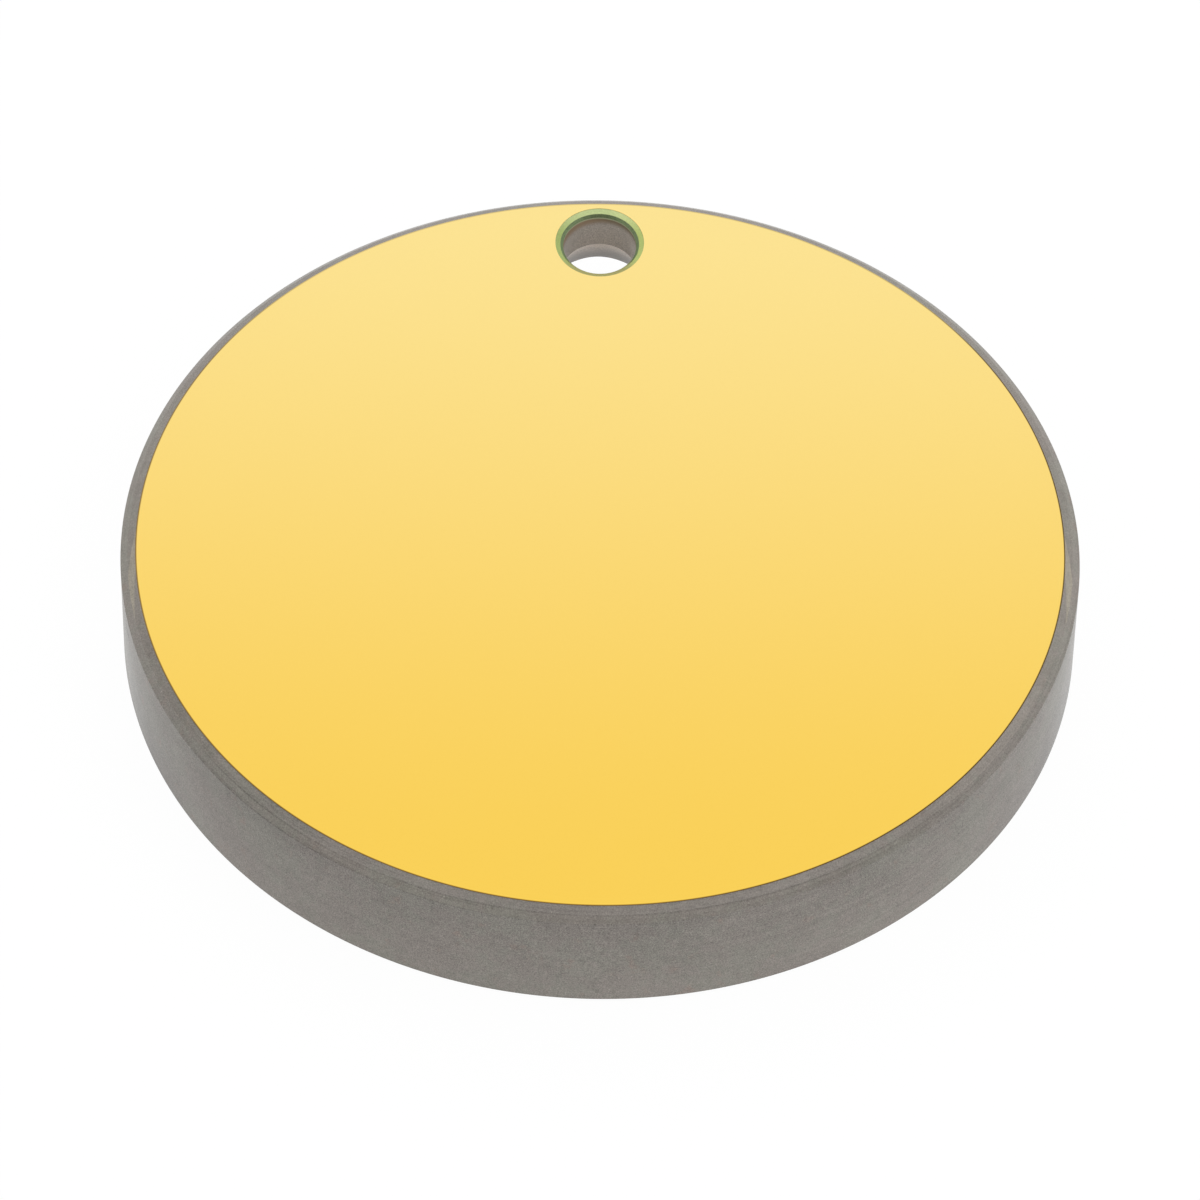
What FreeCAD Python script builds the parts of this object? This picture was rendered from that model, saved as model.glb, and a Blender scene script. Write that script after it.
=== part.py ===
import FreeCAD, Part
import math
import os

import Sketcher

# Concave mirror for a multipass cell: a ground glass disc with a polished
# spherical hollow in its front, a gold film on that hollow, and one beam hole
# close to the edge. The hole is straight in front and flares to the back.
# Round the hollow lies a narrow ground land that slopes down outwards.
#
# The origin is the centre of the flat back face. +Z is the optical axis and
# points out of the gold front. The beam hole lies on +Y. Lengths are in
# millimetres and angles in degrees.

doc = FreeCAD.newDocument("concave_mirror")


# Driving dimensions

sizes = doc.addObject("Spreadsheet::Sheet", "sizes")

DIMENSIONS = (
    ("mirror_diameter", "50.8"),
    ("edge_thickness", "7.0"),
    ("curvature_radius", "400.0"),
    ("land_width", "0.45"),
    ("land_drop", "0.25"),
    ("front_bevel_width", "0.35"),
    ("front_bevel_height", "0.3"),
    ("back_bevel_width", "0.3"),
    ("back_bevel_height", "0.3"),
    ("mouth_margin", "0.35"),
    ("hole_diameter", "4.0"),
    ("flare_depth", "4.6"),
    ("flare_angle", "60.0"),
    ("mouth_bevel_width", "0.4"),
    ("mouth_bevel_depth", "0.2"),
    ("mouth_break_width", "0.17"),
    ("mouth_break_depth", "0.055"),
    ("coating_thickness", "0.02"),
    ("coating_margin", "0.02"),
    ("cut_overrun", "1.0"),
)

for row, (alias, value) in enumerate(DIMENSIONS, start=1):
    sizes.set(f"A{row}", alias)
    sizes.set(f"B{row}", value)
    sizes.setAlias(f"B{row}", alias)
doc.recompute()


def size_of(expression):
    """What an expression on the sheet comes to now."""
    return float(sizes.evalExpression(expression))


# Sizes that follow from the driving ones, as expressions on the sheet

RIM_RADIUS = "sizes.mirror_diameter / 2"
BORE_RADIUS = "sizes.hole_diameter / 2"
HOLLOW_RADIUS = f"({RIM_RADIUS} - sizes.front_bevel_width - sizes.land_width)"
HOLE_OFFSET = (
    f"{HOLLOW_RADIUS} - sizes.mouth_margin - sizes.mouth_bevel_width - {BORE_RADIUS}")
BLANK_SLOPE_WIDTH = "2 * sizes.land_width"
BLANK_SLOPE_DROP = "2 * sizes.land_drop"
BLANK_HEIGHT = "sizes.edge_thickness + sizes.land_drop"
CURVE_CENTRE = f"(sizes.edge_thickness + sqrt(sizes.curvature_radius ^ 2 - {HOLLOW_RADIUS} ^ 2))"
FILM_CURVE_RADIUS = "sizes.curvature_radius - sizes.coating_thickness"
FLARE_WIDTH = "(sizes.flare_depth + sizes.cut_overrun) * tan(sizes.flare_angle / 2 * 1 deg)"
MOUTH_TOP = "sizes.edge_thickness + sizes.cut_overrun"
FILM_HOLE_RADIUS = f"{BORE_RADIUS} + sizes.mouth_bevel_width + sizes.coating_margin"


# Sketches

def start(element):
    """The start point of an element of a sketch, as its constraints name it."""
    return element, 1


def end(element):
    """The end point of an element of a sketch."""
    return element, 2


ORIGIN = start(-1)


def sketch_on(body, name, role):
    """A sketch on the body's own origin plane that has this role."""
    planes = [plane for plane in body.Origin.OriginFeatures if plane.Role == role]
    sketch = body.newObject("Sketcher::SketchObject", name)
    sketch.AttachmentSupport = [(planes[0], "")]
    sketch.MapMode = "FlatFace"
    return sketch


def join(sketch, first, second):
    """Makes two points of a sketch one point."""
    sketch.addConstraint(Sketcher.Constraint("Coincident", *first, *second))


def line(sketch, first, second, construction=False):
    """A straight segment between two points of the sketch plane."""
    segment = Part.LineSegment(FreeCAD.Vector(*first, 0), FreeCAD.Vector(*second, 0))
    return sketch.addGeometry(segment, construction)


def closed_outline(sketch, points):
    """Straight segments round the points, each joined to the next."""
    following = points[1:] + points[:1]
    lines = [line(sketch, here, there) for here, there in zip(points, following)]
    for before, after in zip(lines, lines[1:] + lines[:1]):
        join(sketch, end(before), start(after))
    return lines


def bind(sketch, name, expression, kind, *where):
    """A named dimension of the sketch that follows an expression."""
    index = sketch.addConstraint(Sketcher.Constraint(kind, *where, size_of(expression)))
    sketch.renameConstraint(index, name)
    sketch.setExpression(f"Constraints.{name}", expression)


def straight(sketch, horizontal=(), vertical=()):
    """Keeps these segments of the sketch level or upright."""
    for segment in horizontal:
        sketch.addConstraint(Sketcher.Constraint("Horizontal", segment))
    for segment in vertical:
        sketch.addConstraint(Sketcher.Constraint("Vertical", segment))


# Features

def turned(body, kind, name, sketch, axis):
    """A revolution or groove made by one full turn of a sketch."""
    feature = body.newObject(kind, name)
    feature.Profile = sketch
    feature.ReferenceAxis = (sketch, [axis])
    feature.Angle = 360
    sketch.Visibility = False
    doc.recompute()
    return feature


def centre_on_curve(sphere):
    """Puts a sphere on the centre of curvature, with its poles to the sides."""
    sideways = FreeCAD.Rotation(FreeCAD.Vector(1, 0, 0), FreeCAD.Vector(0, 0, 1))
    sphere.Placement = FreeCAD.Placement(FreeCAD.Vector(), sideways)
    sphere.setExpression("Placement.Base.z", CURVE_CENTRE)


def must_cut(before, after):
    """Stops if a feature took nothing away."""
    if after.Shape.Volume >= before.Shape.Volume:
        raise RuntimeError(f"{after.Name} cuts nothing")


def round_edge(shape, wall_radius, neighbour):
    """The name of the edge where a bore's wall meets a neighbour surface."""
    for number, edge in enumerate(shape.Edges, start=1):
        surfaces = [face.Surface for face in shape.ancestorsOfType(edge, Part.Face)]
        walls = [
            surface for surface in surfaces
            if isinstance(surface, Part.Cylinder)
            and math.isclose(surface.Radius, wall_radius, rel_tol=1e-6)
        ]
        if walls and any(neighbour(surface) for surface in surfaces):
            return f"Edge{number}"
    raise RuntimeError("the bore has no such edge")


# Glass substrate: one disc, turned from its half section. The slope of the
# land runs on inwards and upwards here, until the hollow cuts it off.

substrate = doc.addObject("PartDesign::Body", "mirror_substrate")
substrate.Label = "mirror_substrate"
substrate.Placement = FreeCAD.Placement()

rim_radius = size_of(RIM_RADIUS)
land_radius = rim_radius - sizes.front_bevel_width
land_foot = sizes.edge_thickness - sizes.land_drop
slope_radius = land_radius - size_of(BLANK_SLOPE_WIDTH)
blank_height = size_of(BLANK_HEIGHT)

disc_section = sketch_on(substrate, "disc_section", "XZ_Plane")
back_face, back_bevel, ground_edge, front_bevel, land, blank_top, centre_line = closed_outline(
    disc_section, [
        (0, 0),
        (rim_radius - sizes.back_bevel_width, 0),
        (rim_radius, sizes.back_bevel_height),
        (rim_radius, land_foot - sizes.front_bevel_height),
        (land_radius, land_foot),
        (slope_radius, blank_height),
        (0, blank_height),
    ])
join(disc_section, start(back_face), ORIGIN)
straight(disc_section,
         horizontal=(back_face, blank_top), vertical=(ground_edge, centre_line))
bind(disc_section, "rim_radius", RIM_RADIUS, "DistanceX", *ORIGIN, *start(ground_edge))
bind(disc_section, "blank_height", BLANK_HEIGHT, "DistanceY", *ORIGIN, *start(blank_top))
bind(disc_section, "slope_width", BLANK_SLOPE_WIDTH, "DistanceX", *end(land), *start(land))
bind(disc_section, "slope_drop", BLANK_SLOPE_DROP, "DistanceY", *start(land), *end(land))
bind(disc_section, "front_bevel_width", "sizes.front_bevel_width",
     "DistanceX", *end(front_bevel), *start(front_bevel))
bind(disc_section, "front_bevel_height", "sizes.front_bevel_height",
     "DistanceY", *start(front_bevel), *end(front_bevel))
bind(disc_section, "back_bevel_width", "sizes.back_bevel_width",
     "DistanceX", *start(back_bevel), *end(back_bevel))
bind(disc_section, "back_bevel_height", "sizes.back_bevel_height",
     "DistanceY", *start(back_bevel), *end(back_bevel))
disc = turned(substrate, "PartDesign::Revolution", "disc", disc_section, "V_Axis")


# Polished hollow: a sphere that leaves the sloping land standing round it

hollow = substrate.newObject("PartDesign::SubtractiveSphere", "hollow")
hollow.setExpression("Radius", "sizes.curvature_radius")
centre_on_curve(hollow)
doc.recompute()
must_cut(disc, hollow)


# Beam hole: a straight bore in front and a countersink from the back. It lies
# so close to the edge that the countersink runs out through the ground edge
# and leaves a notch there, through which a slanting beam can pass.

bore_radius = size_of(BORE_RADIUS)
hole_offset = size_of(HOLE_OFFSET)
mouth_top = size_of(MOUTH_TOP)

hole_section = sketch_on(substrate, "hole_section", "YZ_Plane")
hole_line, flare_end, flare, bore, bore_end = closed_outline(hole_section, [
    (hole_offset, mouth_top),
    (hole_offset, -sizes.cut_overrun),
    (hole_offset + bore_radius + size_of(FLARE_WIDTH), -sizes.cut_overrun),
    (hole_offset + bore_radius, sizes.flare_depth),
    (hole_offset + bore_radius, mouth_top),
])
hole_axis = line(hole_section, (hole_offset, mouth_top), (hole_offset, 0), construction=True)
join(hole_section, start(hole_axis), start(hole_line))
straight(hole_section,
         horizontal=(flare_end, bore_end), vertical=(hole_line, bore, hole_axis))
bind(hole_section, "hole_offset", HOLE_OFFSET, "DistanceX", *ORIGIN, *start(hole_line))
bind(hole_section, "bore_radius", BORE_RADIUS,
     "DistanceX", *end(bore_end), *start(bore_end))
bind(hole_section, "flare_depth", "sizes.flare_depth", "DistanceY", *ORIGIN, *end(flare))
bind(hole_section, "flare_width", FLARE_WIDTH, "DistanceX", *end(flare), *start(flare))
bind(hole_section, "mouth_top", MOUTH_TOP, "DistanceY", *ORIGIN, *start(hole_line))
bind(hole_section, "cut_overrun", "sizes.cut_overrun",
     "DistanceY", *end(hole_line), *ORIGIN)
bind(hole_section, "axis_length", MOUTH_TOP,
     "DistanceY", *end(hole_axis), *start(hole_axis))
beam_hole = turned(substrate, "PartDesign::Groove", "beam_hole", hole_section, "Axis0")
must_cut(hollow, beam_hole)


# Bevelled mouth of the beam hole: a shallow bevel on the polished face, and a
# steeper break between that bevel and the bore's wall

def bevel(name, base, wall_edge, width, depth):
    """A bevel this wide on the face around the bore and this deep down its wall."""
    feature = substrate.newObject("PartDesign::Chamfer", name)
    feature.Base = (base, [wall_edge])
    feature.ChamferType = "Two distances"
    feature.setExpression("Size", depth)
    feature.setExpression("Size2", width)
    doc.recompute()
    must_cut(base, feature)
    return feature


def is_hollow(surface):
    """True for the polished spherical surface."""
    return isinstance(surface, Part.Sphere)


def is_mouth_bevel(surface):
    """True for the surface of the bevel, which is none of the turned ones."""
    return not isinstance(surface, (Part.Sphere, Part.Cylinder, Part.Cone))


mouth_bevel = bevel(
    "mouth_bevel", beam_hole, round_edge(beam_hole.Shape, bore_radius, is_hollow),
    "sizes.mouth_bevel_width", "sizes.mouth_bevel_depth")
mouth_break = bevel(
    "mouth_break", mouth_bevel, round_edge(mouth_bevel.Shape, bore_radius, is_mouth_bevel),
    "sizes.mouth_break_width", "sizes.mouth_break_depth")


# Gold coating: a film that covers the polished hollow and stops short of the
# bevelled mouth of the hole. It is what two spheres about the centre of
# curvature leave of a round blank.

def solid(kind, name, **expressions):
    """A primitive solid or a boolean, with sizes that follow expressions."""
    item = doc.addObject(kind, name)
    for key, expression in expressions.items():
        item.setExpression(key, expression)
    return item


def combined(kind, name, base, tool):
    """A boolean of two solids."""
    item = solid(kind, name)
    item.Base = base
    item.Tool = tool
    doc.recompute()
    return item


film_blank = solid("Part::Cylinder", "film_blank", Radius=HOLLOW_RADIUS, Height=MOUTH_TOP)
film_back = solid("Part::Sphere", "film_back", Radius="sizes.curvature_radius")
film_front = solid("Part::Sphere", "film_front", Radius=FILM_CURVE_RADIUS)
centre_on_curve(film_back)
centre_on_curve(film_front)
film_hole = solid("Part::Cylinder", "film_hole", Radius=FILM_HOLE_RADIUS, Height=MOUTH_TOP)
film_hole.setExpression("Placement.Base.y", HOLE_OFFSET)

plano_film = combined("Part::Common", "plano_film", film_blank, film_back)
whole_film = combined("Part::Cut", "whole_film", plano_film, film_front)
must_cut(plano_film, whole_film)
coating = combined("Part::Cut", "gold_coating", whole_film, film_hole)
coating.Label = "gold_coating"
coating.Placement = FreeCAD.Placement()
must_cut(whole_film, coating)


# Checks and files

NODES = (substrate, coating)

for item in doc.Objects:
    if "Invalid" in item.State or "Error" in item.State:
        raise RuntimeError(f"{item.Name} failed: {item.State}")
for node in NODES:
    if node.Shape.isNull() or not node.Shape.isValid() or len(node.Shape.Solids) != 1:
        raise RuntimeError(f"{node.Label} isn't one valid solid")

os.makedirs("parts", exist_ok=True)
for node in NODES:
    node.Shape.exportStep(f"parts/{node.Label}.step")
    print(f"{node.Label}: {node.Shape.Volume:.2f} mm3")
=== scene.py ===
from math import asin, hypot, radians, sin, sqrt, tan
from types import SimpleNamespace

import bpy
from mathutils import Matrix, Vector


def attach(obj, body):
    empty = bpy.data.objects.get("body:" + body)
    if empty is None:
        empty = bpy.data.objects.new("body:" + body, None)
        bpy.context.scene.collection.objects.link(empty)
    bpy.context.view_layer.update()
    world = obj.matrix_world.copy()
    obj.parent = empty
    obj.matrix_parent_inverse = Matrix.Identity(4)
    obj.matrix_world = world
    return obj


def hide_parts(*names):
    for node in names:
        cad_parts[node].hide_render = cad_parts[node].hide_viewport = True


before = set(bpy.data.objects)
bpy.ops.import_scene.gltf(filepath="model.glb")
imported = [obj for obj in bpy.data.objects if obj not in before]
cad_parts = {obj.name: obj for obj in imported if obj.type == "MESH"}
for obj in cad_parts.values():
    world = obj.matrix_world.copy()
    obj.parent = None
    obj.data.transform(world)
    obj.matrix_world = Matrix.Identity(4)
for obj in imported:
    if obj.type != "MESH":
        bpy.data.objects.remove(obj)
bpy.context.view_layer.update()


# The glass disc.
# One round of optical glass, 50.8 mm across and 7 mm thick. It is fine ground all over with
# loose grit, which leaves it matt grey, and both of its corners are ground off to a bevel.

MM = 0.001
RIM_RADIUS = 25.4
THICKNESS = 7.0
BACK_BEVEL = 0.3
FRONT_BEVEL_WIDTH = 0.35
FRONT_BEVEL_HEIGHT = 0.3
LAND_DROP = 0.25
CREST_RADIUS = 24.6
RIM_STEPS = 384


def round_face(name, radius, height, steps, centre=(0, 0)):
    """A flat round face, selected in edit mode and ready to be raised ring by ring."""
    bpy.ops.object.select_all(action="DESELECT")
    bpy.ops.mesh.primitive_circle_add(
        vertices=steps, radius=radius * MM, fill_type="NGON",
        location=(centre[0] * MM, centre[1] * MM, height * MM))
    piece = bpy.context.object
    piece.name = name
    bpy.ops.object.transform_apply(location=True, rotation=True, scale=True)
    bpy.ops.object.mode_set(mode="EDIT")
    bpy.ops.mesh.select_all(action="SELECT")
    return piece


def raise_rings(profile, centre=(0, 0), extrude=bpy.ops.mesh.extrude_region_move):
    """Extrudes what is selected through the (radius, height) pairs of a profile."""
    for here, there in zip(profile, profile[1:]):
        extrude(TRANSFORM_OT_translate={"value": (0, 0, (there[1] - here[1]) * MM)})
        grow = there[0] / here[0]
        bpy.ops.transform.resize(
            value=(grow, grow, 1), center_override=(centre[0] * MM, centre[1] * MM, 0))


def finish_faces():
    """Turns the faces of the edited piece outwards and leaves edit mode."""
    bpy.ops.mesh.select_all(action="SELECT")
    bpy.ops.mesh.normals_make_consistent(inside=False)
    bpy.ops.object.mode_set(mode="OBJECT")


land_corner = (RIM_RADIUS - FRONT_BEVEL_WIDTH, THICKNESS - LAND_DROP)
wall_corner = (RIM_RADIUS, THICKNESS - LAND_DROP - FRONT_BEVEL_HEIGHT)
disc_profile = [
    (RIM_RADIUS - BACK_BEVEL, 0),
    (RIM_RADIUS, BACK_BEVEL),
    wall_corner,
    land_corner,
    (CREST_RADIUS, THICKNESS),
]
disc = round_face("glass_disc", *disc_profile[0], RIM_STEPS)
raise_rings(disc_profile)


# The polished hollow.
# The middle of the front is ground and polished to a sphere of 400 mm radius, 0.76 mm deep,
# and meets the narrow ground land, which slopes down outwards, in a sharp crest.

CURVE_RADIUS = 400.0
HOLLOW_RINGS = 32
POLE_RADIUS = 0.4
CORNER_ROUNDING = 0.03
CORNER_SEGMENTS = 6
SHARP_CORNER = radians(40)

curve_centre = THICKNESS + sqrt(CURVE_RADIUS ** 2 - CREST_RADIUS ** 2)


def hollow_rings(curve_radius):
    """The (radius, height) pairs of rings from the land to the pole of a sphere."""
    step = (CREST_RADIUS - POLE_RADIUS) / HOLLOW_RINGS
    radii = [CREST_RADIUS - step * ring for ring in range(HOLLOW_RINGS + 1)]
    return [(r, curve_centre - sqrt(curve_radius ** 2 - r ** 2)) for r in radii]


raise_rings(hollow_rings(CURVE_RADIUS))
bpy.ops.mesh.poke()
finish_faces()

corner = disc.modifiers.new("ground_corners", "BEVEL")
corner.limit_method = "ANGLE"
corner.angle_limit = SHARP_CORNER
corner.width = CORNER_ROUNDING * MM
corner.segments = CORNER_SEGMENTS
bpy.ops.object.modifier_apply(modifier=corner.name)


# The beam hole.
# A core drill goes through the disc close to its edge. Its mouth is ground back in two
# bevels square to the polished curve, and a 60 degree countersink from the back runs out
# through the ground edge, so that a slanting beam can pass.

HOLE_PLACE = (0, 21.85)
HOLE_RADIUS = 2.0
MOUTH_RADIUS = 2.4
BREAK_RADIUS = 2.152
BREAK_TOP = -0.124
BREAK_FOOT = -0.255
FLARE_TOP = 4.6
FLARE_HALF_ANGLE = radians(30)
HOLE_STEPS = 192
BACK_OVERRUN = 1.0
MOUTH_OVERRUN = (0.2, 0.1)
MERGE_DISTANCE = 0.0005
DISC_SMOOTH_ANGLE = radians(10)

mouth_height = curve_centre - sqrt(CURVE_RADIUS ** 2 - HOLE_PLACE[1] ** 2)
mouth_tilt = asin(HOLE_PLACE[1] / CURVE_RADIUS)
mouth_centre = Vector((HOLE_PLACE[0] * MM, HOLE_PLACE[1] * MM, mouth_height * MM))

cutter_profile = [
    (HOLE_RADIUS + (FLARE_TOP + BACK_OVERRUN) * tan(FLARE_HALF_ANGLE), -BACK_OVERRUN),
    (HOLE_RADIUS, FLARE_TOP),
    (HOLE_RADIUS, mouth_height + BREAK_FOOT),
]
cutter = round_face("hole_cutter", *cutter_profile[0], HOLE_STEPS, HOLE_PLACE)
raise_rings(cutter_profile, HOLE_PLACE)
# With no window the operator turns the other way, so the angle is negative.
bpy.ops.transform.rotate(value=-mouth_tilt, orient_axis="X", center_override=mouth_centre)
along_mouth = Matrix.Rotation(mouth_tilt, 4, "X")
mouth_profile = [
    (HOLE_RADIUS, BREAK_FOOT),
    (BREAK_RADIUS, BREAK_TOP),
    (MOUTH_RADIUS + MOUTH_OVERRUN[0], MOUTH_OVERRUN[1]),
]
for here, there in zip(mouth_profile, mouth_profile[1:]):
    step = along_mouth @ Vector((0, 0, (there[1] - here[1]) * MM))
    bpy.ops.mesh.extrude_region_move(TRANSFORM_OT_translate={"value": step})
    middle = mouth_centre + along_mouth @ Vector((0, 0, there[1] * MM))
    grow = there[0] / here[0]
    bpy.ops.transform.resize(value=(grow, grow, grow), center_override=middle)
finish_faces()


def cut_away(piece, tool):
    """Cuts a closed shape out of a piece, and takes the shape away."""
    bpy.ops.object.select_all(action="DESELECT")
    bpy.context.view_layer.objects.active = piece
    piece.select_set(True)
    cut = piece.modifiers.new("cut", "BOOLEAN")
    cut.operation = "DIFFERENCE"
    cut.solver = "EXACT"
    cut.object = tool
    bpy.ops.object.modifier_apply(modifier=cut.name)
    bpy.data.objects.remove(tool)


cut_away(disc, cutter)
bpy.ops.object.mode_set(mode="EDIT")
bpy.ops.mesh.select_all(action="SELECT")
bpy.ops.mesh.remove_doubles(threshold=MERGE_DISTANCE * MM)
finish_faces()
bpy.ops.object.shade_smooth_by_angle(angle=DISC_SMOOTH_ANGLE)


# The ground finish.
# Fine ground glass: a matt warm grey with the speckle of loose grit. The edge has cloudy
# stains, faint streaks, a few light specks and a nick; a highlight is painted on the land at
# each side, and light and shade are painted on the glass from its front to its sides and foot.

GROUND_WARM = (0.215, 0.195, 0.177, 1)
GROUND_OLIVE = (0.207, 0.197, 0.174, 1)
RED_STAIN = (0.222, 0.185, 0.163, 1)
# The pale of the highlight painted on the land at each side.
PAINTED_HIGHLIGHT = (0.278, 0.253, 0.210, 1)


def node(tree, kind, inputs=None, **settings):
    """A shader node whose sockets are given a value or the output they are joined to."""
    made = tree.nodes.new("ShaderNode" + kind)
    for key, value in settings.items():
        setattr(made, key, value)
    for key, value in (inputs or {}).items():
        if isinstance(value, bpy.types.NodeSocket):
            tree.links.new(value, made.inputs[key])
        else:
            made.inputs[key].default_value = value
    return made


def new_material(name):
    """A material with its Principled shader, ready to be wired."""
    material = bpy.data.materials.new(name)
    material.use_nodes = True
    tree = material.node_tree
    return material, tree, tree.nodes["Principled BSDF"]


def set_surface(shader, values):
    """Sets the plain values of a shader, each by the name of its socket."""
    for socket, value in values.items():
        shader.inputs[socket].default_value = value


def math(tree, operation, first, second=0.0, third=0.0):
    """The result of a Math node."""
    return node(tree, "Math", {0: first, 1: second, 2: third}, operation=operation).outputs[0]


def product(tree, first, *others):
    """Values multiplied together."""
    for other in others:
        first = math(tree, "MULTIPLY", first, other)
    return first


def length(tree, first, second):
    """The length of a step that goes this far along each of two directions."""
    squares = math(tree, "MULTIPLY_ADD", first, first, math(tree, "MULTIPLY", second, second))
    return math(tree, "SQRT", squares)


def between(tree, value, low, high):
    """0 where the value is at low, 1 where it is at high, smooth between."""
    made = node(tree, "MapRange", {"Value": value, "From Min": low, "From Max": high},
                interpolation_type="SMOOTHSTEP")
    return made.outputs[0]


def close_to(tree, value, middle, far, near):
    """0 where the value is far from the middle, 1 where it is near, smooth between."""
    return between(tree, math(tree, "ABSOLUTE", math(tree, "SUBTRACT", value, middle)), far, near)


def mix(tree, factor, first, second, blend="MIX"):
    """Two colours mixed by a factor."""
    made = node(tree, "Mix", {"Factor": factor, "A": first, "B": second},
                data_type="RGBA", blend_type=blend)
    return made.outputs["Result"]


def toned(tree, colour, tone):
    """A colour made lighter or darker by a tone round 1."""
    return mix(tree, 1.0, colour, tone, "MULTIPLY")


def lifted(tree, tone, amount, *where):
    """A tone with an amount added where all of these are 1, and none where one is 0."""
    return math(tree, "MULTIPLY_ADD", product(tree, *where), amount, tone)


def added(tree, tone, value, amount):
    """A tone with a part of a value added, which leaves it as it is where the value is half."""
    return lifted(tree, math(tree, "SUBTRACT", tone, amount / 2), amount, value)


def millimetres(tree):
    """The place on the object, counted in millimetres."""
    place = node(tree, "TexCoord").outputs["Object"]
    return node(tree, "VectorMath", {0: place, "Scale": 1 / MM}, operation="SCALE").outputs[0]


def scaled(tree, vector, factors):
    """A place with each direction stretched by its own factor."""
    return node(tree, "VectorMath", {0: vector, 1: factors}, operation="MULTIPLY").outputs[0]


def noise(tree, vector, scale, detail=2.0, roughness=0.5):
    """Plain noise at a number of grains per millimetre."""
    return node(tree, "TexNoise", {"Vector": vector, "Scale": scale, "Detail": detail,
                                   "Roughness": roughness}).outputs["Fac"]


# Where each part of the disc begins and is full: a rise in height, or a pair of y or x.
LAND_BEGINS = 0.02
BEVEL_BEGINS = 0.03
IN_FRONT = (-9.0, -18.0)
AT_LEFT = (2.0, -8.0)
AT_RIGHT = (2.0, 12.0)
NARROW_FACES_SMOOTHER = -0.35


def disc_place(tree):
    """Where a point of the disc is, in millimetres, and which of the disc's parts it is on."""
    vector = millimetres(tree)
    x, y, height = node(tree, "SeparateXYZ", {0: vector}).outputs
    land = between(tree, height, land_corner[1], land_corner[1] + LAND_BEGINS)
    above_wall = between(tree, height, wall_corner[1], wall_corner[1] + BEVEL_BEGINS)
    bevel = math(tree, "SUBTRACT", above_wall, land)
    narrow = math(tree, "MAXIMUM", land, bevel)
    return SimpleNamespace(
        vector=vector, x=x, y=y, height=height, radius=length(tree, x, y),
        land=land, bevel=bevel, narrow=narrow,
        rough=math(tree, "MULTIPLY_ADD", narrow, NARROW_FACES_SMOOTHER, 1.0),
        front=between(tree, y, *IN_FRONT),
        left=between(tree, x, *AT_LEFT),
        right=between(tree, x, *AT_RIGHT))


# Painted light and shade on the ground glass. The front is lighter at its foot and darker towards
# its top, and the sides are darker at their foot. The bevel is lighter at the back, the land and
# bevel are lighter in front, and the land is lighter at its front right and darker at its front
# left.
SIDE_TONE = 0.88
SIDE_TONE_RISE = 0.018
FRONT_TONE_MORE = 0.26
FRONT_RISE_LESS = -0.053
FOOT = (3.0, 0.5)
FOOT_PAINTED_LIGHT = 0.06
BEFORE_SIDE = -8.0
BEFORE_SIDE_REACH = (4.5, 1.5)
BEFORE_SIDE_FOOT = (4.0, 0.5)
BEFORE_SIDE_PAINTED_SHADE = -0.10
BEVEL_FRONT_LIFT = -0.04
BEVEL_BACK_PAINTED_LIGHT = 0.12
BEVEL_BACK = (-10.0, -2.0)
BELT_PLACE = -12.0
BELT_SLANT = 0.1
BELT_REACH = (5.5, 2.5)
BELT_PAINTED_LIGHT_PER_MM = 0.0065
NARROW_FRONT_PAINTED_LIGHT = 0.045


def painted_light_and_shade(tree, at):
    """The painted light and shade of the ground glass, from its front to its sides and from top to
    foot.
    """
    rise = math(tree, "MULTIPLY_ADD", at.front, FRONT_RISE_LESS, SIDE_TONE_RISE)
    tone = math(tree, "MULTIPLY_ADD", at.front, FRONT_TONE_MORE, SIDE_TONE)
    tone = math(tree, "MULTIPLY_ADD", at.height, rise, tone)
    tone = lifted(tree, tone, FOOT_PAINTED_LIGHT, at.front, between(tree, at.height, *FOOT))
    before_side = close_to(tree, at.y, BEFORE_SIDE, *BEFORE_SIDE_REACH)
    foot = between(tree, at.height, *BEFORE_SIDE_FOOT)
    tone = lifted(tree, tone, BEFORE_SIDE_PAINTED_SHADE, before_side, foot)
    back = between(tree, at.y, *BEVEL_BACK)
    lift = math(tree, "MULTIPLY_ADD", back, BEVEL_BACK_PAINTED_LIGHT, BEVEL_FRONT_LIFT)
    tone = lifted(tree, tone, lift, at.bevel)
    slanting = math(tree, "MULTIPLY_ADD", at.x, BELT_SLANT, at.y)
    belt = close_to(tree, slanting, BELT_PLACE, *BELT_REACH)
    tone = lifted(tree, tone, BELT_PAINTED_LIGHT_PER_MM, at.land, belt, at.x)
    return lifted(tree, tone, NARROW_FRONT_PAINTED_LIGHT, at.narrow, at.front)


GRAINS = 14.0
MOTTLES = 1.7
CLOUDS = 0.4
CLOUD_CONTRAST = 0.25


def speckled(tree, at, tone, grain, mottle, grit):
    """A tone with the speckle, the mottling and the clouds that loose grit leaves."""
    tone = lifted(tree, tone, grit, at.rough, math(tree, "SUBTRACT", grain, 0.5))
    mottles = noise(tree, at.vector, MOTTLES, detail=3.0, roughness=0.8)
    tone = added(tree, tone, mottles, mottle)
    return added(tree, tone, noise(tree, at.vector, CLOUDS), CLOUD_CONTRAST)


RINGS = 5.0
RING_STRETCH = (0.02, 0.02, 0.02)
RING_SHARE = 0.5
STREAKS_AT_RIGHT = 0.25
SCRATCHES = (0.45, 0.38)
SCRATCH_LIFT = -0.05
SCRATCH_LEFT_MORE = -0.04


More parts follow.
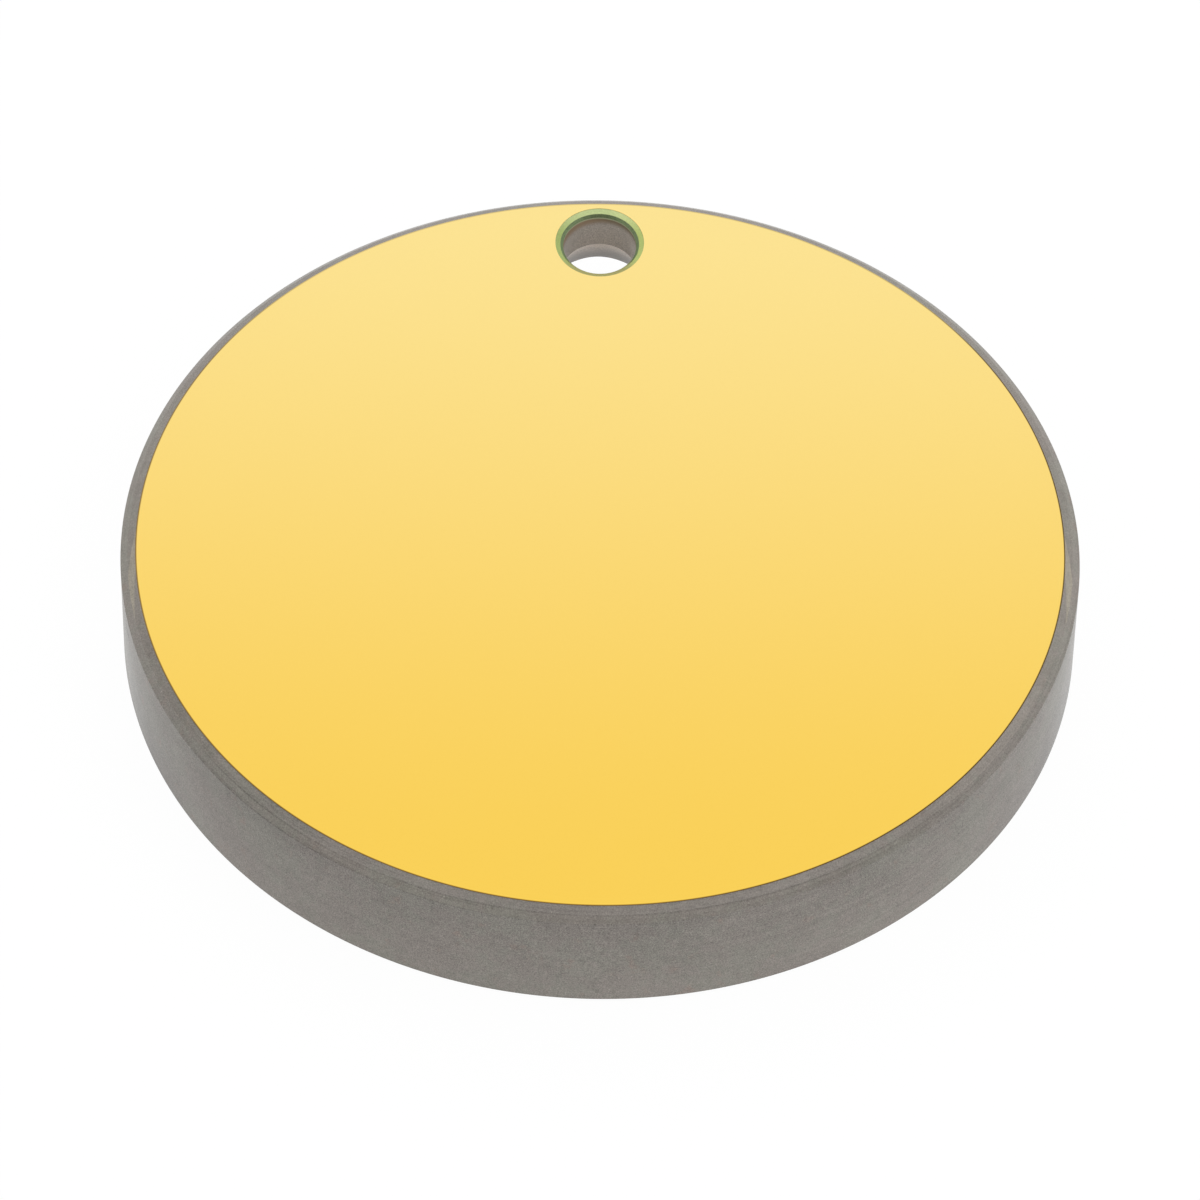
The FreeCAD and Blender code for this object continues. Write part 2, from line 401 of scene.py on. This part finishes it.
def ringed(tree, at, tone, mottle):
    """A tone with the rings, streaks and fine scratches that run round the ground disc."""
    across = math(tree, "SUBTRACT", at.radius, at.height)
    drawn_out = scaled(tree, at.vector, RING_STRETCH)
    rings = node(tree, "TexNoise", {"Vector": drawn_out, "W": across, "Scale": RINGS,
                                    "Detail": 2.0, "Roughness": 0.6},
                 noise_dimensions="4D").outputs["Fac"]
    tone = added(tree, tone, rings, mottle * RING_SHARE)
    tone = lifted(tree, tone, STREAKS_AT_RIGHT, at.right, math(tree, "SUBTRACT", rings, 0.5))
    depth = math(tree, "MULTIPLY_ADD", at.left, SCRATCH_LEFT_MORE, SCRATCH_LIFT)
    return lifted(tree, tone, depth, at.narrow, between(tree, rings, *SCRATCHES), at.front)


# The dark lines on the corners: the corner, the line's width, its tone, and what the left adds.
FRONT_LINES = (
    (land_corner, 0.07, -0.11, -0.04),
    (wall_corner, 0.06, -0.05, -0.06),
)
BACK_CORNER = (RIM_RADIUS, BACK_BEVEL)
BACK_LINE_WIDTH = 0.09
BACK_LINE_LIFT = -0.12


def corner_line(tree, at, corner, width):
    """1 along a corner of the disc, given as its radius and height, and 0 away from it."""
    away = length(tree, math(tree, "SUBTRACT", at.radius, corner[0]),
                  math(tree, "SUBTRACT", at.height, corner[1]))
    return between(tree, away, width, width / 4)


def lined(tree, at, tone):
    """A tone with the dark lines on the front corners and on the back corner."""
    for corner, width, lift, left_more in FRONT_LINES:
        lift = math(tree, "MULTIPLY_ADD", at.left, left_more, lift)
        tone = lifted(tree, tone, lift, corner_line(tree, at, corner, width), at.front)
    return lifted(tree, tone, BACK_LINE_LIFT, corner_line(tree, at, BACK_CORNER, BACK_LINE_WIDTH))


SPECK_CELLS = 1.8
SPECK_PICK = (0.40, 0.42)
SPECK_RADIUS = 0.09
SPECK_LIFT = 0.45
NICK_PLACE = (-24.89, -5.09, 5.37)
NICK_STRETCH = (0.25, 0.25, 1.0)
NICK_EDGE = (0.18, 0.09)
NICK_RAGGED = 0.2
NICK_LIFT = -0.6


def specked(tree, at, tone, grain):
    """A tone with the light round specks, and with the dark nick in the edge at the left."""
    cells = node(tree, "TexVoronoi", {"Vector": at.vector, "Scale": SPECK_CELLS})
    pick = node(tree, "SeparateColor", {0: cells.outputs["Color"]}).outputs[0]
    picked = between(tree, pick, *SPECK_PICK)
    speck = between(tree, cells.outputs["Distance"], SPECK_RADIUS, SPECK_RADIUS / 2)
    tone = lifted(tree, tone, SPECK_LIFT, picked, speck)
    away = node(tree, "VectorMath", {0: scaled(tree, at.vector, NICK_STRETCH),
                                     1: scaled(tree, NICK_PLACE, NICK_STRETCH)},
                operation="DISTANCE").outputs["Value"]
    nick = between(tree, added(tree, away, grain, NICK_RAGGED), *NICK_EDGE)
    return lifted(tree, tone, NICK_LIFT, nick)


STAINS = 0.2
STAIN_EDGES = 1.3
STAIN_EDGE_SHARE = 0.9
LAND_WARMER = -0.08
STAIN_LEVELS = (0.36, 0.64)


def stained(tree, at, warm, olive):
    """The warm and the olive grey of the ground glass, which change in cloudy stains."""
    edges = noise(tree, at.vector, STAIN_EDGES, detail=3.0, roughness=0.7)
    stain = added(tree, noise(tree, at.vector, STAINS), edges, STAIN_EDGE_SHARE)
    stain = lifted(tree, stain, LAND_WARMER, at.land)
    return mix(tree, between(tree, stain, *STAIN_LEVELS), warm, olive)


BLOTS = 0.9
BLOT_LEVELS = (0.58, 0.74)
LEAF_OUTER_END = 0.75
LEAF_OUTER_SLANT = 0.143
LEAF_OUTER_EDGE = (0.0, 0.02)
LEAF_INNER_END = -2.2
LEAF_INNER_SLANT = 0.13
LEAF_INNER_EDGE = (-0.02, 0.06)


def blots_and_painted_highlight(tree, at, colour):
    """A colour with red blots, and with a painted highlight: the pale leaf that crosses the land
    at each side.
    """
    blots = noise(tree, at.vector, BLOTS, detail=3.0, roughness=0.7)
    blots = between(tree, blots, *BLOT_LEVELS)
    colour = mix(tree, product(tree, blots, at.rough), colour, RED_STAIN)
    across = math(tree, "SUBTRACT", at.radius, CREST_RADIUS)
    outer = math(tree, "MULTIPLY", math(tree, "SUBTRACT", LEAF_OUTER_END, at.y), LEAF_OUTER_SLANT)
    outer = between(tree, math(tree, "SUBTRACT", outer, across), *LEAF_OUTER_EDGE)
    inner = math(tree, "MULTIPLY", math(tree, "SUBTRACT", at.y, LEAF_INNER_END), LEAF_INNER_SLANT)
    inner = between(tree, math(tree, "ADD", inner, across), *LEAF_INNER_EDGE)
    return mix(tree, product(tree, at.land, outer, inner), colour, PAINTED_HIGHLIGHT)


EDGE_MOTTLE = 0.40
EDGE_GRIT = 2.1


def ground_glass(name, warm, olive, mottle, grit, with_blots_and_highlight=False):
    """Fine ground glass, given back with its nodes for what lies on it.

    A coat stands for the gloss that a ground face has at a grazing angle."""
    material, tree, shader = new_material(name)
    at = disc_place(tree)
    grain = noise(tree, at.vector, GRAINS, detail=2.0, roughness=0.8)
    # Painted light and shade, from the front to the sides and from top to foot.
    tone = painted_light_and_shade(tree, at)
    tone = speckled(tree, at, tone, grain, mottle, grit)
    tone = ringed(tree, at, tone, mottle)
    tone = lined(tree, at, tone)
    tone = specked(tree, at, tone, grain)
    colour = stained(tree, at, warm, olive)
    # Red blots, and a highlight painted on the land at each side.
    if with_blots_and_highlight:
        colour = blots_and_painted_highlight(tree, at, colour)
    colour = toned(tree, colour, tone)
    tree.links.new(colour, shader.inputs["Base Color"])
    set_surface(shader, {"Roughness": 0.6, "Specular IOR Level": 0.15, "Coat Weight": 0.55,
                         "Coat Roughness": 0.15, "Coat IOR": 1.2})
    bump = node(tree, "Bump", {"Height": grain, "Strength": 0.3, "Distance": 0.01 * MM})
    tree.links.new(bump.outputs[0], shader.inputs["Normal"])
    return SimpleNamespace(material=material, tree=tree, shader=shader, at=at, colour=colour)


edge = ground_glass(
    "ground_glass_finish", GROUND_WARM, GROUND_OLIVE, EDGE_MOTTLE, EDGE_GRIT, with_blots_and_highlight=True)
disc.data.materials.clear()
disc.data.materials.append(edge.material)


# The finish inside the beam hole.
# Some of the coating's vapour reaches the two bevels of the mouth, which turn a pale and a
# dark green, and leaves a brown stain at the top of the bore. The ground wall and countersink
# are paler than the edge, because light comes through the thin glass behind them.

PALE_GREEN_FAR = (0.45, 0.53, 0.235, 1)
PALE_GREEN_FAR_RIGHT = (0.54, 0.61, 0.265, 1)
PALE_GREEN_LEFT = (0.28, 0.36, 0.108, 1)
PALE_GREEN_RIGHT = (0.365, 0.445, 0.128, 1)
OLIVE_NEAR = (0.30, 0.285, 0.095, 1)
DARK_GREEN_FAR = (0.062, 0.088, 0.036, 1)
DARK_GREEN_SIDE = (0.110, 0.158, 0.070, 1)
LEFT_TO_RIGHT = (-1.5, 1.5)
FAR_LEFT_TO_RIGHT = (0.3, 1.3)
PALE_FAR = (0.5, 2.3)
PALE_NEAR = (-1.0, -2.0)
DARK_FAR_REACH = (1.4, 0.2)
DARK_NEAR = (-0.9, -1.7)


def mouth_place(tree, vector):
    """The place seen from the mouth: x and y across it, and z square out of the curve."""
    place = node(tree, "Mapping", {
        "Vector": vector, "Location": (*HOLE_PLACE, mouth_height),
        "Rotation": (mouth_tilt, 0, 0)}, vector_type="TEXTURE")
    return node(tree, "SeparateXYZ", {0: place.outputs[0]}).outputs


def pale_green(tree, x, y):
    """The pale green of the mouth's outer bevel, which differs at its far side, left and right."""
    side = mix(tree, between(tree, x, *LEFT_TO_RIGHT), PALE_GREEN_LEFT, PALE_GREEN_RIGHT)
    far = mix(tree, between(tree, x, *FAR_LEFT_TO_RIGHT), PALE_GREEN_FAR, PALE_GREEN_FAR_RIGHT)
    return mix(tree, between(tree, y, *PALE_FAR), side, far)


def dark_green(tree, x, _):
    """The dark green of the mouth's inner bevel, which is darkest in the middle."""
    return mix(tree, close_to(tree, x, 0.0, *DARK_FAR_REACH), DARK_GREEN_SIDE, DARK_GREEN_FAR)


def coated_bevel(name, green, near, grains, contrast):
    """The brushed finish of a bevel of the mouth: a green that is olive at the near side."""
    material, tree, shader = new_material(name)
    vector = millimetres(tree)
    x, y, _ = mouth_place(tree, vector)
    colour = mix(tree, between(tree, y, *near), green(tree, x, y), OLIVE_NEAR)
    brushed = noise(tree, vector, grains, detail=3.0, roughness=0.7)
    tone = added(tree, 1.0, brushed, contrast)
    tree.links.new(toned(tree, colour, tone), shader.inputs["Base Color"])
    set_surface(shader, {"Roughness": 0.45})
    return material


pale = coated_bevel("mouth_bevel_finish", pale_green, PALE_NEAR, grains=9.0, contrast=0.6)
dark = coated_bevel("mouth_break_finish", dark_green, DARK_NEAR, grains=10.0, contrast=1.7)

BORE_WARM = (0.475, 0.43, 0.385, 1)
BORE_OLIVE = (0.46, 0.42, 0.375, 1)
BROWN_LEFT = (0.29, 0.205, 0.135, 1)
BROWN_RIGHT = (0.20, 0.155, 0.095, 1)
GREEN_RIDGE = (0.38, 0.41, 0.26, 1)
HOLE_MOTTLE = 0.15
BORE_GRIT = 1.6
BORE_TONE = 0.86
BORE_PAINTED_LIGHT_PER_X = 0.07
BORE_PAINTED_LIGHT_PER_Z = -0.11
BORE_MIDDLE_REACH = (1.5, 0.3)
BORE_MIDDLE_TONE = -0.10
BORE_MIDDLE_PER_Z = -0.10
BROWN_SLANT = -0.06
BROWN_DEPTHS = (BREAK_FOOT - 0.65, BREAK_FOOT - 0.15)
RIDGE_DEPTHS = (BREAK_FOOT - 0.12, BREAK_FOOT - 0.04)

wall = ground_glass("bore_wall_finish", BORE_WARM, BORE_OLIVE, HOLE_MOTTLE, BORE_GRIT)
tree = wall.tree
x, _, z = mouth_place(tree, wall.at.vector)
# Painted light and shade in the bore: its wall is lighter to the right and deeper down, and in its
# middle darker near the mouth and lighter deep down.
tone = math(tree, "MULTIPLY_ADD", x, BORE_PAINTED_LIGHT_PER_X, BORE_TONE)
tone = lifted(tree, tone, BORE_PAINTED_LIGHT_PER_Z, z)
lift = math(tree, "MULTIPLY_ADD", z, BORE_MIDDLE_PER_Z, BORE_MIDDLE_TONE)
tone = lifted(tree, tone, lift, close_to(tree, x, 0.0, *BORE_MIDDLE_REACH))
brown = mix(tree, between(tree, x, *LEFT_TO_RIGHT), BROWN_LEFT, BROWN_RIGHT)
stain = between(tree, math(tree, "MULTIPLY_ADD", x, BROWN_SLANT, z), *BROWN_DEPTHS)
colour = mix(tree, stain, toned(tree, wall.colour, tone), brown)
colour = mix(tree, between(tree, z, *RIDGE_DEPTHS), colour, GREEN_RIDGE)
tree.links.new(colour, wall.shader.inputs["Base Color"])
set_surface(wall.shader, {"Coat Weight": 0.3})

FLARE_WARM = (0.88, 0.765, 0.66, 1)
FLARE_OLIVE = (0.86, 0.765, 0.655, 1)
FLARE_GRIT = 1.4
FLARE_TONE = 1.22
FLARE_SHADE = (FLARE_TOP, FLARE_TOP - 2.4)
FLARE_SHADE_LIFT = -0.80
FLARE_LIP = (RIM_RADIUS - 0.12, RIM_RADIUS - 0.02)
FLARE_LIP_LIFT = -0.25

flare = ground_glass("countersink_finish", FLARE_WARM, FLARE_OLIVE, HOLE_MOTTLE, FLARE_GRIT)
tree = flare.tree
shade = between(tree, flare.at.height, *FLARE_SHADE)
tone = math(tree, "MULTIPLY_ADD", shade, FLARE_SHADE_LIFT, FLARE_TONE)
tone = lifted(tree, tone, FLARE_LIP_LIFT, between(tree, flare.at.radius, *FLARE_LIP))
tree.links.new(toned(tree, flare.colour, tone), flare.shader.inputs["Base Color"])
set_surface(flare.shader, {"Coat Weight": 0.35, "Coat Roughness": 0.25, "Coat IOR": 1.5})

# How far the normals of the hole's faces rise: on the mouth's two bevels out of the curve, and
# in the bore and the countersink out of the back face.
PALE_RISE = 0.8
DARK_RISE = 0.5
WALL_RISE = 0.1
FLARE_RISE = -sin(FLARE_HALF_ANGLE)
RISE_SLACK = 0.02
PLACE_SLACK = (0.01, -0.001)

for finish in (pale, dark, wall.material, flare.material):
    disc.data.materials.append(finish)
pale_slot, dark_slot, wall_slot, flare_slot = range(1, 5)
across_mouth = Matrix.Rotation(-mouth_tilt, 3, "X")
for face in disc.data.polygons:
    place = across_mouth @ (face.center - mouth_centre) / MM
    rise = (across_mouth @ face.normal).z
    inside = hypot(place.x, place.y) < MOUTH_RADIUS + PLACE_SLACK[0] and place.z < PLACE_SLACK[1]
    if abs(face.normal.z - FLARE_RISE) < RISE_SLACK:
        face.material_index = flare_slot
    elif inside and rise > PALE_RISE:
        face.material_index = pale_slot
    elif inside and rise > DARK_RISE:
        face.material_index = dark_slot
    elif inside and abs(face.normal.z) < WALL_RISE:
        face.material_index = wall_slot

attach(disc, "root")
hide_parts("mirror_substrate")


# The gold film.
# Gold is evaporated on the polished hollow under vacuum, through a mask that keeps the land
# clear. The film ends a hair short of the bevelled mouth, and its colour turns brown at its edge,
# darkest at the right and faint at the far side.

FILM_THICKNESS = 0.02
FILM_HOLE_RADIUS = 2.42
FILM_SMOOTH_ANGLE = radians(13)
GOLD = (0.985, 0.80, 0.335, 1)
GOLD_HAZE = (0.9, 0.7, 0.3, 1)
GOLD_EDGE_LEFT = (0.28, 0.20, 0.105, 1)
GOLD_EDGE_RIGHT = (0.12, 0.082, 0.045, 1)
EDGE_LEFT_TO_RIGHT = (0.0, 18.0)
EDGE_RADII = (CREST_RADIUS - 0.09, CREST_RADIUS - 0.03)
FAR_SIDE = (20.0, 12.0)
FAR_EDGE_STRENGTH = 0.4
HAZE_GRAINS = 0.5
HAZE_SHARE = 0.02

film_profile = hollow_rings(CURVE_RADIUS - FILM_THICKNESS)
film = round_face("gold_film", *film_profile[0], RIM_STEPS)
bpy.ops.mesh.delete(type="ONLY_FACE")
bpy.ops.mesh.select_all(action="SELECT")
raise_rings(film_profile, extrude=bpy.ops.mesh.extrude_edges_move)
bpy.ops.mesh.edge_face_add()
bpy.ops.mesh.poke()
finish_faces()
if film.data.polygons[0].normal.z < 0:
    film.data.flip_normals()
layer = film.modifiers.new("thickness", "SOLIDIFY")
layer.thickness = FILM_THICKNESS * MM
layer.offset = -1
bpy.ops.object.modifier_apply(modifier=layer.name)

punch_profile = [(FILM_HOLE_RADIUS, THICKNESS - 2), (FILM_HOLE_RADIUS, THICKNESS + 1)]
punch = round_face("film_punch", *punch_profile[0], HOLE_STEPS, HOLE_PLACE)
raise_rings(punch_profile, HOLE_PLACE)
finish_faces()
cut_away(film, punch)
bpy.ops.object.shade_smooth_by_angle(angle=FILM_SMOOTH_ANGLE)

gold, tree, shader = new_material("gold_finish")
vector = millimetres(tree)
x, y, _ = node(tree, "SeparateXYZ", {0: vector}).outputs
haze = noise(tree, vector, HAZE_GRAINS, detail=3.0, roughness=0.6)
colour = mix(tree, math(tree, "MULTIPLY", haze, HAZE_SHARE), GOLD, GOLD_HAZE)
near_side = between(tree, y, *FAR_SIDE)
strength = math(tree, "MULTIPLY_ADD", near_side, 1 - FAR_EDGE_STRENGTH, FAR_EDGE_STRENGTH)
film_edge = product(tree, between(tree, length(tree, x, y), *EDGE_RADII), strength)
brown = mix(tree, between(tree, x, *EDGE_LEFT_TO_RIGHT), GOLD_EDGE_LEFT, GOLD_EDGE_RIGHT)
tree.links.new(mix(tree, film_edge, colour, brown), shader.inputs["Base Color"])
set_surface(shader, {"Metallic": 1.0})
rough = node(tree, "MapRange", {"Value": haze, "To Min": 0.03, "To Max": 0.08})
tree.links.new(rough.outputs[0], shader.inputs["Roughness"])
film.data.materials.clear()
film.data.materials.append(gold)

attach(film, "root")
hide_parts("gold_coating")


# The studio.
# A white sweep under a white tent, with a soft lamp at the right and another behind. The tent
# is warm at half height on the inside, where the gold reflects it, and white above.

FLOOR_SIZE = 4.0
FLOOR_WHITE = (0.95, 0.95, 0.95, 1)
FLOOR_GLOW = 0.97

bpy.ops.object.select_all(action="DESELECT")
bpy.ops.mesh.primitive_plane_add(size=FLOOR_SIZE, location=(0, 0, 0))
floor = bpy.context.object
floor.name = "floor"
white, tree, shader = new_material("white_sweep")
tree.nodes.remove(shader)
matt = node(tree, "BsdfDiffuse", {"Color": FLOOR_WHITE})
bright = node(tree, "Emission", {"Strength": 1.0})
seen = node(tree, "LightPath").outputs
reflected = math(tree, "MAXIMUM", seen["Is Glossy Ray"], seen["Is Transmission Ray"])
direct = math(tree, "MAXIMUM", seen["Is Camera Ray"], reflected)
glow = math(tree, "MULTIPLY", direct, FLOOR_GLOW)
surface = node(tree, "MixShader", {0: glow, 1: matt.outputs[0], 2: bright.outputs[0]})
tree.links.new(surface.outputs[0], tree.nodes["Material Output"].inputs["Surface"])
floor.data.materials.append(white)

TENT_LIGHT = (0.86, 0.86, 0.86, 1)
TENT_WHITE = (1, 1, 1, 1)
TENT_FOOT = (0.95, 0.95, 0.94, 1)
TENT_WARM = (0.97, 0.79, 0.29, 1)
TURNS_WARM = (0.42, 0.60)
TURNS_WHITE = (0.70, 0.84)

world = bpy.data.worlds.new("tent")
bpy.context.scene.world = world
world.use_nodes = True
tree = world.node_tree
seen = node(tree, "LightPath").outputs
direction = node(tree, "TexCoord").outputs["Generated"]
height = node(tree, "SeparateXYZ", {0: direction}).outputs[2]
tent = mix(tree, between(tree, height, *TURNS_WARM), TENT_FOOT, TENT_WARM)
tent = mix(tree, between(tree, height, *TURNS_WHITE), tent, TENT_WHITE)
light = mix(tree, seen["Is Glossy Ray"], TENT_LIGHT, tent)
light = mix(tree, seen["Is Camera Ray"], light, TENT_WHITE)
tree.links.new(light, tree.nodes["Background"].inputs["Color"])

LAMP_SIZE = 0.5
# Each soft lamp: its name, its place and its power in watts.
LAMPS = (("side_lamp", (0.35, -0.15, 0.45), 0.8), ("back_lamp", (-0.05, 0.42, 0.45), 1.2))

for name, place, power in LAMPS:
    bpy.ops.object.light_add(type="AREA", location=place)
    lamp = bpy.context.object
    lamp.name = name
    lamp.data.shape = "DISK"
    lamp.data.size = LAMP_SIZE
    lamp.data.energy = power
    lamp.visible_glossy = False
    lamp.rotation_euler = (-Vector(place)).to_track_quat("-Z", "Y").to_euler()


# The camera.
# It stands 0.45 m off with a long lens and looks down at 47 to 49 degrees, with the beam
# hole at the far side. It is turned a little to the left and rolled by one degree.

CAMERA_PLACE = Vector((-4.67, -289.8, 339.75)) * MM
CAMERA_DOWN = 49.34
CAMERA_TURN = -0.93
CAMERA_ROLL = 1.10
SENSOR_WIDTH = 36
LENS = 250.1
CLIP_START = 0.01

bpy.ops.object.camera_add(location=CAMERA_PLACE)
camera = bpy.context.object
camera.name = "camera"
turn = (Matrix.Rotation(radians(CAMERA_TURN), 3, "Z")
        @ Matrix.Rotation(radians(90 - CAMERA_DOWN), 3, "X")
        @ Matrix.Rotation(radians(CAMERA_ROLL), 3, "Z"))
camera.rotation_euler = turn.to_euler()
camera.data.sensor_fit = "HORIZONTAL"
camera.data.sensor_width = SENSOR_WIDTH
camera.data.lens = LENS
camera.data.clip_start = CLIP_START
bpy.context.scene.camera = camera
bpy.context.scene.view_settings.view_transform = "Standard"
